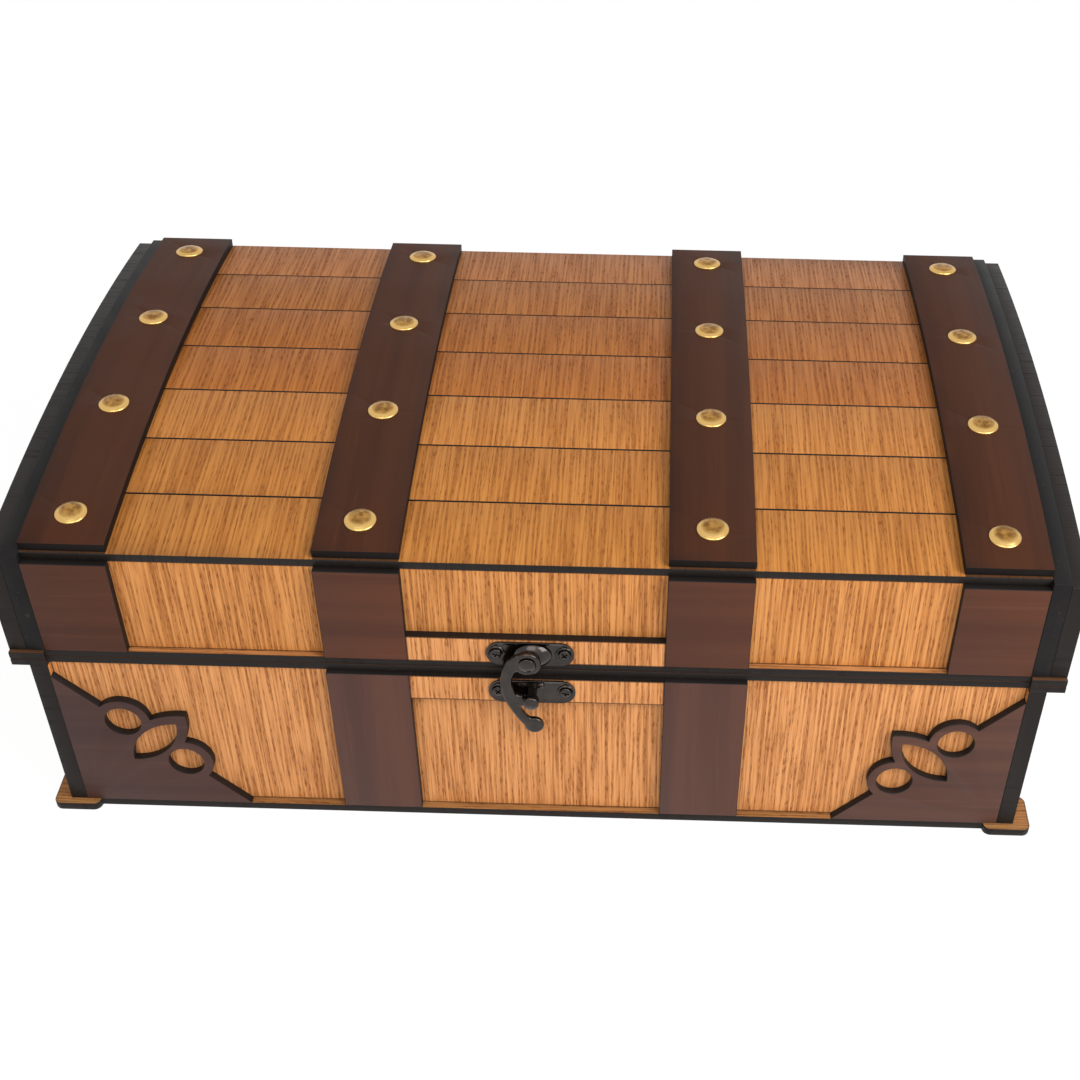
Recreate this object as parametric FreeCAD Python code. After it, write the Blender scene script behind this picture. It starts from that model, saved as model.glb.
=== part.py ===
"""Storage chest with a hinged arched lid: laser-cut 3 mm board, straps, studs, hinges and a hook latch."""
import FreeCAD, Part
import math
import os

os.makedirs("parts", exist_ok=True)
V = FreeCAD.Vector

# ---- driving dimensions, mm ------------------------------------------------
BOARD = 3.0              # thickness of every panel, strap and slat
FRAME_T = 2.6            # thickness of the two frames at the parting
FRAME_PROUD = 1.0        # front edge of the frames beyond the base panel
INNER_W = 330.0          # clear width between the end walls
INNER_D = 200.0          # clear depth between front and back panels
WALL_H = 65.0            # height of the base walls above the floor board
RIM_H = 37.0             # height of the straight lid rim above the lid frame
ARCH_RISE = 6.0          # crown of the lid above its front edge
SLATS = 7                # boards across the arch
SLAT_JOINT = 0.4         # open joint between two slats
SLAT_INSET = 0.8         # slat edge behind the face of the base panels
RIM_INSET = 2.6          # front rim panel behind the front edge of the frames
FRAME_LIP = 3.0          # frames reach this far inside the walls
LEDGE = 3.0              # floor board ledge outside the end walls
EAR = 17.0               # side of a square floor ear
EAR_OUT = 3.0            # ear beyond the floor board edge
EAR_R = 3.0              # rounded corner of an ear
PARTING = 0.3            # gap between the base frame and the lid frame
STRAP_W = 28.0           # width of every strap
STRAP_SHARE = 19 / 55    # middle straps, as a share of the inner half width
STRAP_SEAT = 0.05        # lid strap over the corners of the slats
STRAP_SHORT = 1.1        # lid strap stops short of the slat edge
OUTER_END_LOW = 1.5      # outer end board below the inner one
PAD_H = 10.5             # height of the latch and hinge pads

STUD_R = 5.3
STUD_DOME = 2.2
STUD_PITCH = 58.0        # along the arch
STUD_COUNT = 4
STUD_PIN_R = 0.7
STUD_PIN_LEN = 2.6

ORN_LEG = 60.0           # corner ornament, leg of the right angle
ORN_RING_R = 9.6
ORN_HOLE_R = 6.3
ORN_RING_AT = 13.4       # ring centres from the middle of the long side
LEAF_LEN = 18.0          # outer leaf, half length
LEAF_WID = 8.6           # outer leaf, half width
LEAF_HOLE_LEN = 12.5
LEAF_HOLE_WID = 5.3

LATCH_X = -2.6           # pivot of the hook
PLATE_ASIDE = 0.75       # middle of the latch plate to the right of the pivot
CATCH_ASIDE = 1.1        # catch to the right of the pivot
PLATE_LOW = 0.5          # latch plate below the middle of its pad
PLATE_W = 29.4
PLATE_H = 10.0
PLATE_T = 1.0
PLATE_SCREWS = 22.8      # spacing of the two screws
BOSS_R = 5.0             # foot of the pivot boss
BOSS_TOP_R = 3.9
PIVOT_UP = 4.1           # pivot above the lid frame
CATCH_DOWN = 5.3         # catch below the top of the base panel
HOOK_T = 2.0
HOOK_GAP = 0.3           # hook to boss and heads
HOOK_STAND = 1.0         # hook in front of the catch plate
PIVOT_R = 1.5
PIVOT_HEAD_R = 2.9
PIVOT_HEAD_H = 0.9
PIVOT_FIT = 0.06
NECK_R = 1.8
KNOB_R = 2.65
KNOB_H = 2.6
KNOB_DOME = 0.8

HINGE_W = 28.0
LEAF_H = 11.0
LEAF_T = 1.0
BARREL_R = 2.2
BARREL_OFF = 0.35        # barrel skin behind the pads
HINGE_PIN_R = 0.9
PIN_FIT = 0.02
KNUCKLE_FIT = 0.06
KNUCKLE_GAP = 0.3
KNUCKLE_MID = 9.4        # length of the middle knuckle
HINGE_SCREW_X = 9.0
HINGE_SCREW_Z = 6.6      # from the hinge axis

SCREW_R = 0.95
SCREW_LEN = 5.0          # from the outer face of the metal
SCREW_HEAD_R = 1.9
SCREW_FIT = 0.05
HEAD_FIT = 0.05

# ---- derived positions -----------------------------------------------------
X_IN = INNER_W / 2
STRAP_MID = X_IN * STRAP_SHARE
STRAP_OUT = X_IN - STRAP_W / 2
HINGE_X = (STRAP_MID + STRAP_OUT) / 2
X_WALL = X_IN + 2 * BOARD
X_END = X_WALL + 2 * BOARD
X_FLOOR = X_WALL + LEDGE
Y_IN = INNER_D / 2
Y_FACE = Y_IN + BOARD
Y_EDGE = Y_FACE + BOARD
Z_WALL = BOARD + WALL_H
Z_BASE_TOP = Z_WALL + FRAME_T
Z_LID = Z_BASE_TOP + PARTING
Z_RIM = Z_LID + FRAME_T
Z_RIM_TOP = Z_RIM + RIM_H
Z_SLAT = Z_RIM_TOP + BOARD

Y_SLAT = Y_FACE - SLAT_INSET
ARCH_R = (Y_SLAT ** 2 + ARCH_RISE ** 2) / (2 * ARCH_RISE)
ARCH_Z = Z_SLAT + ARCH_RISE - ARCH_R
ARCH_HALF = math.asin(Y_SLAT / ARCH_R)

Y_FRAME = Y_FACE + FRAME_PROUD
LID_FACE = Y_FRAME - RIM_INSET           # outer face of the front rim panel
LID_PAD = LID_FACE + BOARD               # outer face of the lid latch pad and end boards
CATCH_X = LATCH_X + CATCH_ASIDE
HOOK_BACK = Y_EDGE + PLATE_T + HOOK_STAND  # hook face next to the plates
HOOK_FRONT = HOOK_BACK + HOOK_T
HEAD_SEAT = HOOK_FRONT + HOOK_GAP
PIVOT_Z = Z_RIM + PIVOT_UP
CATCH_Z = Z_WALL - CATCH_DOWN
PLATE_X = LATCH_X + PLATE_ASIDE
LID_PLATE_Z = Z_RIM + PAD_H / 2 - PLATE_LOW
BASE_PLATE_Z = Z_WALL - PAD_H / 2

AXIS_Y = Y_EDGE + BARREL_OFF + BARREL_R
AXIS_Z = Z_BASE_TOP + PARTING / 2

SIDES = (("l", -1), ("r", 1))


# ---- helpers ---------------------------------------------------------------
def save(name, shape):
    shape.exportStep("parts/" + name + ".step")


def box(x0, x1, y0, y1, z0, z1):
    return Part.makeBox(x1 - x0, y1 - y0, z1 - z0, V(x0, y0, z0))


def span_box(x0, x1, y0, y1, z0, z1):
    """Box from two corners given in any order."""
    return box(min(x0, x1), max(x0, x1), min(y0, y1), max(y0, y1), min(z0, z1), max(z0, z1))


def prism(points, push):
    wire = Part.makePolygon(points + [points[0]])
    return Part.Face(wire).extrude(push)


def y_cylinder(radius, x, z, y0, y1):
    return Part.makeCylinder(radius, abs(y1 - y0), V(x, min(y0, y1), z), V(0, 1, 0))


def x_cylinder(radius, x0, x1, grow=0.0):
    return Part.makeCylinder(radius + grow, x1 - x0, V(x0, AXIS_Y, AXIS_Z), V(1, 0, 0))


def cap(radius, height):
    """Shallow dome standing on z = 0."""
    ball_r = (radius ** 2 + height ** 2) / (2 * height)
    ball = Part.makeSphere(ball_r, V(0, 0, height - ball_r))
    return ball.common(Part.makeCylinder(radius + 1, height + 1))


def aim(shape, normal, at):
    """Turn a shape built along +Z onto a normal, then move it."""
    done = shape.copy()
    done.Placement = FreeCAD.Placement(V(*at), FreeCAD.Rotation(V(0, 0, 1), normal))
    return done


def arch_point(angle, lift=0.0):
    """Point (y, z) on the arch, angle from the crown, lift above it."""
    reach = ARCH_R + lift
    return reach * math.sin(angle), ARCH_Z + reach * math.cos(angle)


def arch_normal(angle):
    return V(0, math.sin(angle), math.cos(angle))


# ---- screws ----------------------------------------------------------------
def screw(grow=0.0, recess=True):
    """Countersunk screw, head flush with z = 0, shank down -Z."""
    head_r = SCREW_HEAD_R + (HEAD_FIT if grow else 0.0)
    shank_r = SCREW_R + grow
    cone = Part.makeCone(shank_r, head_r, head_r - shank_r, V(0, 0, shank_r - head_r))
    shank = Part.makeCylinder(shank_r, SCREW_LEN + grow, V(0, 0, -SCREW_LEN - grow))
    body = cone.fuse(shank).removeSplitter()
    if not recess:
        return body
    bar = Part.makeBox(2.2, 0.5, 0.6, V(-1.1, -0.25, -0.6))
    turned = bar.copy()
    turned.rotate(V(0, 0, 0), V(0, 0, 1), 90)
    return body.cut(bar).cut(turned)


def screw_set(places, normal, y_face):
    return Part.makeCompound([aim(screw(), normal, (x, y_face, z)) for x, z in places])


def screw_cuts(places, normal, y_face):
    return [aim(screw(SCREW_FIT, False), normal, (x, y_face, z)) for x, z in places]


FRONT = V(0, -1, 0)
BACK = V(0, 1, 0)
LID_SCREWS = [(PLATE_X + s * PLATE_SCREWS / 2, LID_PLATE_Z) for s in (-1, 1)]
CATCH_SCREWS = [(CATCH_X + s * PLATE_SCREWS / 2, BASE_PLATE_Z) for s in (-1, 1)]
HINGE_SCREWS = {}
for side, s in SIDES:
    xs = [s * HINGE_X + t * HINGE_SCREW_X for t in (-1, 1)]
    HINGE_SCREWS["base", side] = [(x, AXIS_Z - HINGE_SCREW_Z) for x in xs]
    HINGE_SCREWS["lid", side] = [(x, AXIS_Z + HINGE_SCREW_Z) for x in xs]

lid_latch_cuts = screw_cuts(LID_SCREWS, FRONT, -LID_PAD - PLATE_T)
base_latch_cuts = screw_cuts(CATCH_SCREWS, FRONT, -Y_EDGE - PLATE_T)
hinge_cuts = {}
for key, places in HINGE_SCREWS.items():
    hinge_cuts[key] = screw_cuts(places, BACK, Y_EDGE + LEAF_T)


# ---- base boards -----------------------------------------------------------
def floor_board():
    board = box(-X_FLOOR, X_FLOOR, -Y_EDGE, Y_EDGE, 0, BOARD)
    for sx in (-1, 1):
        for sy in (-1, 1):
            x1 = X_FLOOR + EAR_OUT
            y1 = Y_EDGE + EAR_OUT
            ear = span_box(sx * x1, sx * (x1 - EAR), sy * y1, sy * (y1 - EAR), 0, BOARD)
            ear = ear.makeFillet(EAR_R, [e for e in ear.Edges if abs(e.tangentAt(0).z) > 0.9])
            board = board.fuse(ear)
    return board.removeSplitter()


def frame(z0):
    """Flat ring under or over the parting, its two ends proud of the panels."""
    z1 = z0 + FRAME_T
    ring = box(-X_IN, X_IN, -Y_FRAME, Y_FACE, z0, z1)
    for _, s in SIDES:
        ring = ring.fuse(span_box(s * X_IN, s * X_END, -Y_EDGE, Y_EDGE, z0, z1))
    hole_x = X_IN - FRAME_LIP
    hole_y = Y_IN - FRAME_LIP
    return ring.removeSplitter().cut(box(-hole_x, hole_x, -hole_y, hole_y, z0, z1))


def drilled(shape, cuts):
    return shape.cut(cuts)


save("base_floor", floor_board())
save("base_frame", frame(Z_WALL))
save("base_panel_front", drilled(box(-X_IN, X_IN, -Y_FACE, -Y_IN, BOARD, Z_WALL), base_latch_cuts))
back_cuts = hinge_cuts["base", "l"] + hinge_cuts["base", "r"]
save("base_panel_back", drilled(box(-X_IN, X_IN, Y_IN, Y_FACE, BOARD, Z_WALL), back_cuts))
for side, s in SIDES:
    save("base_end_" + side, span_box(s * X_IN, s * X_WALL, -Y_EDGE, Y_EDGE, BOARD, Z_WALL))

pad_x = STRAP_MID - STRAP_W / 2
pad_in = STRAP_MID + STRAP_W / 2
pad_out = STRAP_OUT - STRAP_W / 2
pad = box(-pad_x, pad_x, -Y_EDGE, -Y_FACE, Z_WALL - PAD_H, Z_WALL)
save("latch_pad_base", drilled(pad, base_latch_cuts))
for side, s in SIDES:
    for face, y0, y1 in (("front", -Y_EDGE, -Y_FACE), ("back", Y_FACE, Y_EDGE)):
        x0 = s * STRAP_MID - STRAP_W / 2
        save("base_strap_" + face + "_" + side, box(x0, x0 + STRAP_W, y0, y1, BOARD, Z_WALL))
    pad = span_box(s * pad_in, s * pad_out, Y_FACE, Y_EDGE, Z_WALL - PAD_H, Z_BASE_TOP)
    save("hinge_pad_base_" + side, drilled(pad, hinge_cuts["base", side]))


# ---- corner ornaments ------------------------------------------------------
def leaf(half_len, half_wid, depth):
    """Pointed oval along local Y, one prism deep, centred on the origin."""
    side_a = Part.Arc(V(0, -half_len, 0), V(half_wid, 0, 0), V(0, half_len, 0)).toShape()
    side_b = Part.Arc(V(0, half_len, 0), V(-half_wid, 0, 0), V(0, -half_len, 0)).toShape()
    return Part.Face(Part.Wire([side_a, side_b])).extrude(V(0, 0, depth))


def ornament():
    """Corner at the origin, legs along +X and +Y, extruded along +Z."""
    mid = V(ORN_LEG / 2, ORN_LEG / 2, 0)
    plate = prism([V(0, 0, 0), V(ORN_LEG, 0, 0), V(0, ORN_LEG, 0)], V(0, 0, BOARD))
    along = V(1, -1, 0).normalize()
    rings = [mid + along * (k * ORN_RING_AT) for k in (-1, 1)]
    turn = FreeCAD.Placement(mid, FreeCAD.Rotation(V(0, 0, 1), -45))
    outer = leaf(LEAF_LEN, LEAF_WID, BOARD)
    outer.Placement = turn
    inner = leaf(LEAF_HOLE_LEN, LEAF_HOLE_WID, BOARD)
    inner.Placement = turn
    plate = plate.fuse([outer] + [Part.makeCylinder(ORN_RING_R, BOARD, c) for c in rings])
    plate = plate.removeSplitter()
    return plate.cut([inner] + [Part.makeCylinder(ORN_HOLE_R, BOARD, c) for c in rings])


def place_ornament(s):
    """Stand the ornament on the ledge in the left (-1) or right (1) corner."""
    shape = ornament()
    shape.rotate(V(0, 0, 0), V(1, 0, 0), 90)
    if s > 0:
        shape = shape.mirror(V(0, 0, 0), V(1, 0, 0))
    shape.translate(V(s * X_IN, -Y_FACE, BOARD))
    return shape


for side, s in SIDES:
    save("corner_ornament_" + side, place_ornament(s))


# ---- lid boards ------------------------------------------------------------
save("lid_frame", frame(Z_LID))
rim_front = box(-X_IN, X_IN, -LID_FACE, -LID_FACE + BOARD, Z_RIM, Z_RIM_TOP)
save("lid_panel_front", drilled(rim_front, lid_latch_cuts))
rim_back = box(-X_IN, X_IN, Y_IN, Y_FACE, Z_RIM, Z_RIM_TOP)
save("lid_panel_back", drilled(rim_back, hinge_cuts["lid", "l"] + hinge_cuts["lid", "r"]))

pad = box(-pad_x, pad_x, -LID_PAD, -LID_FACE, Z_RIM, Z_RIM + PAD_H)
save("latch_pad_lid", drilled(pad, lid_latch_cuts))
for side, s in SIDES:
    pad = span_box(s * pad_in, s * pad_out, Y_FACE, Y_EDGE, Z_LID, Z_RIM + PAD_H)
    save("hinge_pad_lid_" + side, drilled(pad, hinge_cuts["lid", side]))


def end_board(x0, x1, drop):
    """Arched end board of the lid between two x values."""
    reach = ARCH_R - drop
    yf, zf = arch_point(-math.asin(LID_PAD / reach), -drop)
    yb, zb = arch_point(math.asin(Y_EDGE / reach), -drop)
    crown = Part.Arc(V(x0, yf, zf), V(x0, *arch_point(0, -drop)), V(x0, yb, zb)).toShape()
    low = Part.makePolygon([V(x0, yb, zb), V(x0, yb, Z_RIM), V(x0, yf, Z_RIM), V(x0, yf, zf)])
    face = Part.Face(Part.Wire([crown] + low.Edges))
    return face.extrude(V(x1 - x0, 0, 0))


for side, s in SIDES:
    save("lid_end_inner_" + side, end_board(s * X_IN, s * X_WALL, 0.0))
    save("lid_end_outer_" + side, end_board(s * X_WALL, s * X_END, OUTER_END_LOW))


# ---- arch: slats, straps and studs -----------------------------------------
def arch_angle(travel):
    """Angle from the crown after a distance along the arch from its middle."""
    return travel / ARCH_R


def slat(index):
    """Flat board between two radial cuts."""
    step = 2 * ARCH_HALF / SLATS
    a0 = -ARCH_HALF + index * step
    a1 = a0 + step
    trim = SLAT_JOINT / 2 / ARCH_R
    b0 = a0 + (trim if index > 0 else 0)
    b1 = a1 - (trim if index < SLATS - 1 else 0)
    mid = (a0 + a1) / 2
    flat = ARCH_R * math.cos(step / 2)
    corners = []
    for angle, depth in ((b0, 0), (b1, 0), (b1, BOARD), (b0, BOARD)):
        reach = (flat - depth) / math.cos(angle - mid)
        corners.append(V(-X_IN, reach * math.sin(angle), ARCH_Z + reach * math.cos(angle)))
    return prism(corners, V(INNER_W, 0, 0))


def lid_strap(x_mid):
    """Curved strap lying on the arch, drilled for its studs."""
    half = ARCH_HALF - STRAP_SHORT / ARCH_R
    x0 = x_mid - STRAP_W / 2
    rows = []
    for lift in (STRAP_SEAT, STRAP_SEAT + BOARD):
        pts = [V(x0, *arch_point(a, lift)) for a in (-half, 0, half)]
        rows.append(pts)
    inner = Part.Arc(*rows[0]).toShape()
    outer = Part.Arc(*rows[1]).toShape()
    ends = [Part.makeLine(rows[0][i], rows[1][i]) for i in (0, 2)]
    face = Part.Face(Part.Wire(Part.sortEdges([inner, outer] + ends)[0]))
    return face.extrude(V(STRAP_W, 0, 0))


def stud_places(x_mid):
    first = -STUD_PITCH * (STUD_COUNT - 1) / 2
    angles = [arch_angle(first + k * STUD_PITCH) for k in range(STUD_COUNT)]
    return [(a, (x_mid,) + arch_point(a, STRAP_SEAT + BOARD)) for a in angles]


def stud():
    pin = Part.makeCylinder(STUD_PIN_R, STUD_PIN_LEN, V(0, 0, -STUD_PIN_LEN))
    return cap(STUD_R, STUD_DOME).fuse(pin)


for index in range(SLATS):
    save("lid_slat_" + str(index + 1), slat(index))

strap_rows = [-STRAP_OUT, -STRAP_MID, STRAP_MID, STRAP_OUT]
studs = []
for number, x_mid in enumerate(strap_rows, 1):
    strap = lid_strap(x_mid)
    pin_hole = Part.makeCylinder(STUD_PIN_R + HEAD_FIT, BOARD + 1, V(0, 0, -BOARD - 0.5))
    holes = []
    for angle, at in stud_places(x_mid):
        studs.append(aim(stud(), arch_normal(angle), at))
        holes.append(aim(pin_hole, arch_normal(angle), at))
    save("lid_strap_" + str(number), strap.cut(holes))
    x0 = x_mid - STRAP_W / 2
    front = box(x0, x0 + STRAP_W, -LID_PAD, -LID_FACE, Z_RIM, Z_RIM_TOP)
    save("rim_strap_front_" + str(number), front)
    back = box(x0, x0 + STRAP_W, Y_FACE, Y_EDGE, Z_RIM, Z_RIM_TOP)
    save("rim_strap_back_" + str(number), back)
save("lid_studs", Part.makeCompound(studs))


# ---- latch -----------------------------------------------------------------
def plate(x_mid, z_mid, y_face):
    """Plate with round ends on a pad whose outer face is at -y_face."""
    r = PLATE_H / 2
    half = PLATE_W / 2 - r
    z0 = z_mid - r
    y0 = -y_face - PLATE_T
    body = box(x_mid - half, x_mid + half, y0, -y_face, z0, z0 + PLATE_H)
    for s in (-1, 1):
        body = body.fuse(y_cylinder(r, x_mid + s * half, z_mid, y0, -y_face))
    return body.removeSplitter()


lid_plate = plate(PLATE_X, LID_PLATE_Z, LID_PAD).cut(lid_latch_cuts)
boss_h = HOOK_BACK - HOOK_GAP - LID_PAD - PLATE_T
boss = Part.makeCone(BOSS_R, BOSS_TOP_R, boss_h)
lid_plate = lid_plate.fuse(aim(boss, FRONT, (LATCH_X, -LID_PAD - PLATE_T, PIVOT_Z)))
pivot_hole = y_cylinder(PIVOT_R + PIN_FIT, LATCH_X, PIVOT_Z, -LID_PAD, -HOOK_BACK)
save("latch_plate", lid_plate.removeSplitter().cut(pivot_hole))
save("latch_screws", screw_set(LID_SCREWS, FRONT, -LID_PAD - PLATE_T))

rivet = y_cylinder(PIVOT_R, LATCH_X, PIVOT_Z, -LID_PAD, -HEAD_SEAT)
rivet_head = aim(cap(PIVOT_HEAD_R, PIVOT_HEAD_H), FRONT, (LATCH_X, -HEAD_SEAT, PIVOT_Z))
save("latch_rivet", rivet.fuse(rivet_head).removeSplitter())

catch = plate(CATCH_X, BASE_PLATE_Z, Y_EDGE).cut(base_latch_cuts)
neck_hole = y_cylinder(NECK_R + PIN_FIT, CATCH_X, CATCH_Z, -Y_EDGE, -HOOK_BACK)
save("catch_plate", catch.cut(neck_hole))
save("catch_screws", screw_set(CATCH_SCREWS, FRONT, -Y_EDGE - PLATE_T))
neck = y_cylinder(NECK_R, CATCH_X, CATCH_Z, -Y_EDGE, -HEAD_SEAT)
knob = y_cylinder(KNOB_R, CATCH_X, CATCH_Z, -HEAD_SEAT, -HEAD_SEAT - KNOB_H)
knob_end = aim(cap(KNOB_R, KNOB_DOME), FRONT, (CATCH_X, -HEAD_SEAT - KNOB_H, CATCH_Z))
save("catch_post", neck.fuse([knob, knob_end]).removeSplitter())

# outline of the hook round its pivot, x right and z up
HOOK_OUTER = [
    (4.3, 0.0), (3.2, 2.9), (0.6, 4.4), (-2.6, 4.1), (-5.6, 2.3), (-7.8, -1.4),
    (-9.0, -5.4), (-9.2, -9.4), (-8.5, -13.6), (-7.0, -17.6), (-5.2, -21.2),
    (-3.4, -24.6), (-2.0, -28.6), (0.6, -31.0), (3.4, -30.4), (4.8, -28.0),
]
HOOK_INNER = [
    (4.8, -28.0), (3.9, -25.6), (2.0, -24.6), (-0.2, -23.6), (-1.9, -21.7),
    (-2.8, -19.7), (-1.9, -18.6), (0.2, -18.4), (1.9, -18.0), (1.6, -17.2),
    (0.1, -16.9), (-1.1, -15.6), (-1.7, -14.2), (-3.6, -12.8), (-4.9, -11.0),
    (-5.5, -8.6), (-5.3, -6.4), (-4.0, -5.0), (-1.2, -4.3), (2.0, -3.7),
    (3.7, -2.2), (4.3, 0.0),
]


def hook():
    edges = []
    for row in (HOOK_OUTER, HOOK_INNER):
        curve = Part.BSplineCurve()
        curve.interpolate([V(LATCH_X + x, -HOOK_BACK, PIVOT_Z + z) for x, z in row])
        edges.append(curve.toShape())
    blank = Part.Face(Part.Wire(edges)).extrude(V(0, -HOOK_T, 0))
    bore = y_cylinder(PIVOT_R + PIVOT_FIT, LATCH_X, PIVOT_Z, -HOOK_BACK, -HOOK_FRONT)
    return blank.cut(bore)


save("latch_hook", hook())


# ---- hinges ----------------------------------------------------------------
def hinge_leaf(x_mid, up, spans, away):
    """Leaf with its knuckles; spans are its own, away the other leaf's."""
    x0 = x_mid - HINGE_W / 2
    x1 = x_mid + HINGE_W / 2
    z_near = AXIS_Z + up * PARTING / 2
    z_far = AXIS_Z + up * LEAF_H
    z_notch = AXIS_Z + up * (BARREL_R + KNUCKLE_GAP)
    shape = span_box(x0, x1, Y_EDGE, Y_EDGE + LEAF_T, z_near, z_far)
    shape = shape.cut([span_box(a, b, Y_EDGE, Y_EDGE + LEAF_T, z_near, z_notch) for a, b in away])
    shape = shape.fuse([x_cylinder(BARREL_R, a, b) for a, b in spans]).removeSplitter()
    fit = KNUCKLE_FIT if up > 0 else PIN_FIT
    return shape.cut(x_cylinder(HINGE_PIN_R, x0, x1, fit))


pins = []
for side, s in SIDES:
    x_mid = s * HINGE_X
    end0 = x_mid - HINGE_W / 2
    end1 = x_mid + HINGE_W / 2
    mid0 = x_mid - KNUCKLE_MID / 2
    mid1 = x_mid + KNUCKLE_MID / 2
    outer = [(end0, mid0 - KNUCKLE_GAP), (mid1 + KNUCKLE_GAP, end1)]
    base_leaf = hinge_leaf(x_mid, -1, outer, [(mid0 - KNUCKLE_GAP, mid1 + KNUCKLE_GAP)])
    lid_away = [(end0, mid0), (mid1, end1)]
    lid_leaf = hinge_leaf(x_mid, 1, [(mid0, mid1)], lid_away)
    save("hinge_leaf_base_" + side, drilled(base_leaf, hinge_cuts["base", side]))
    save("hinge_leaf_lid_" + side, drilled(lid_leaf, hinge_cuts["lid", side]))
    pins.append(x_cylinder(HINGE_PIN_R, end0, end1))
save("hinge_pins", Part.makeCompound(pins))
for body in ("base", "lid"):
    places = HINGE_SCREWS[body, "l"] + HINGE_SCREWS[body, "r"]
    save("hinge_screws_" + body, screw_set(places, BACK, Y_EDGE + LEAF_T))
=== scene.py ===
# %% [markdown]
# # A low chest with an arched lid
# This lesson dresses a small wooden chest: straight-grained boards, dark straps with brass
# nails, pierced corners, and a cast hook that keeps the lid shut. The bare solids are already
# made and measured elsewhere, so the first cell only loads them. Everything is in metres.

# %% Load the bare chest
import math
import bpy
import bmesh
from mathutils import Matrix, Vector


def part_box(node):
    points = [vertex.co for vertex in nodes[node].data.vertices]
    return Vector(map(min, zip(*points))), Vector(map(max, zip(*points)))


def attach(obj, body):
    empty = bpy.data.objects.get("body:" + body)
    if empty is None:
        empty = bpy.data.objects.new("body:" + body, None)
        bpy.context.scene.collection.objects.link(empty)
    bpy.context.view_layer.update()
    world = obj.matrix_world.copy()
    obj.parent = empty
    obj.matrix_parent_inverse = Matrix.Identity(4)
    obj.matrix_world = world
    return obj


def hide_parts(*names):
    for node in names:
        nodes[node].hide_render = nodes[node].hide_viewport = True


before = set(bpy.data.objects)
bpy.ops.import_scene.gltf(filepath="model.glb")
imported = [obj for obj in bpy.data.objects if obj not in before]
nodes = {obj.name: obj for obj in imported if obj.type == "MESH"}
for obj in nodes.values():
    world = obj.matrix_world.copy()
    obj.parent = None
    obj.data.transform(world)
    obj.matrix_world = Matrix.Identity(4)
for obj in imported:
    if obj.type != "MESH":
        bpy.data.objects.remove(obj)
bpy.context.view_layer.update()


# %% [markdown]
# ## The camera
# The chest is seen from in front, from above and a little to the right, at about 43 degrees.
# The camera could be placed by eye, but straight edges pin it down much better, so its place,
# tilt and lens are written as numbers. The lens shift only keeps the chest in the frame.

# %% Place the camera
IMAGE = 1080
SENSOR = 36
FOCAL_PX = 1627.24
AXIS_PX = (620.0, 700.0)
EYE = Vector((0.03547, -0.50709, 0.43823))
PITCH, YAW, ROLL = 0.7568, 0.0181, 0.0148

ahead = Vector((-math.sin(YAW) * math.cos(PITCH), math.cos(YAW) * math.cos(PITCH), -math.sin(PITCH)))
level = Vector((math.cos(YAW), math.sin(YAW), 0))
upright = level.cross(ahead)
right = math.cos(ROLL) * level + math.sin(ROLL) * upright
up = math.cos(ROLL) * upright - math.sin(ROLL) * level
tilt = Matrix((right, up, -ahead)).transposed().to_4x4()

bpy.ops.object.camera_add()
camera = bpy.context.object
camera.matrix_world = Matrix.Translation(EYE) @ tilt
camera.data.sensor_width = SENSOR
camera.data.lens = FOCAL_PX / IMAGE * SENSOR
camera.data.shift_x = (IMAGE / 2 - AXIS_PX[0]) / IMAGE
camera.data.shift_y = (AXIS_PX[1] - IMAGE / 2) / IMAGE
bpy.context.scene.camera = camera
print("lens", round(camera.data.lens, 2), "mm")


# %% [markdown]
# ## Shader maths in plain Python
# A wood finish is a sum of noises, and wiring dozens of nodes by hand hides the idea. Here one
# small class stands for the output of a node and knows plus, minus and times, so a finish
# reads like a short formula. Each operator only adds a Math node.

# %% A value that does arithmetic
class Value:
    """Output of a shader node; arithmetic on it adds Math nodes."""

    def __init__(self, owner, out):
        self.owner = owner
        self.out = out

    def _math(self, operation, first, second):
        return self.owner.node("ShaderNodeMath", {"operation": operation}, {0: first, 1: second})

    def __add__(self, other):
        return self._math("ADD", self, other)

    def __sub__(self, other):
        return self._math("SUBTRACT", self, other)

    def __rsub__(self, other):
        return self._math("SUBTRACT", other, self)

    def __mul__(self, other):
        return self._math("MULTIPLY", self, other)

    def __abs__(self):
        return self._math("ABSOLUTE", self, 0.0)

    __radd__ = __add__
    __rmul__ = __mul__


print("values ready")


# %% [markdown]
# Every other kind of node comes from one method, which takes the node's type, its settings and
# what goes into its sockets. Materials and the world both have such a tree of nodes, so the
# method sits in a class that both can use. A white backdrop needs one more thing from it: to
# tell what is looked at, straight or in a mirror, from what only gives light.

# %% A tree that makes its own nodes
class Tree:
    """The nodes of a material or of the world."""

    def __init__(self, tree):
        self.tree = tree

    def node(self, kind, settings=None, sockets=None, out=0):
        made = self.tree.nodes.new(kind)
        for key, value in (settings or {}).items():
            setattr(made, key, value)
        for key, value in (sockets or {}).items():
            if isinstance(value, Value):
                self.tree.links.new(value.out, made.inputs[key])
            else:
                made.inputs[key].default_value = value
        return Value(self, made.outputs[out])

    def looked_at(self):
        """1 for what the camera or a mirror looks at, 0 for what only gives light."""
        straight = self.node("ShaderNodeLightPath", out="Is Camera Ray")
        mirrored = self.node("ShaderNodeLightPath", out="Is Glossy Ray")
        return self.node("ShaderNodeMath", {"operation": "MAXIMUM"}, {0: straight, 1: mirrored})

    def show(self, mask, first, second, output):
        """Mix two shaders by a mask and show the result."""
        both = self.node("ShaderNodeMixShader", None, {0: mask, 1: first, 2: second})
        self.tree.links.new(both.out, self.tree.nodes[output].inputs["Surface"])


print("trees ready")


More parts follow.
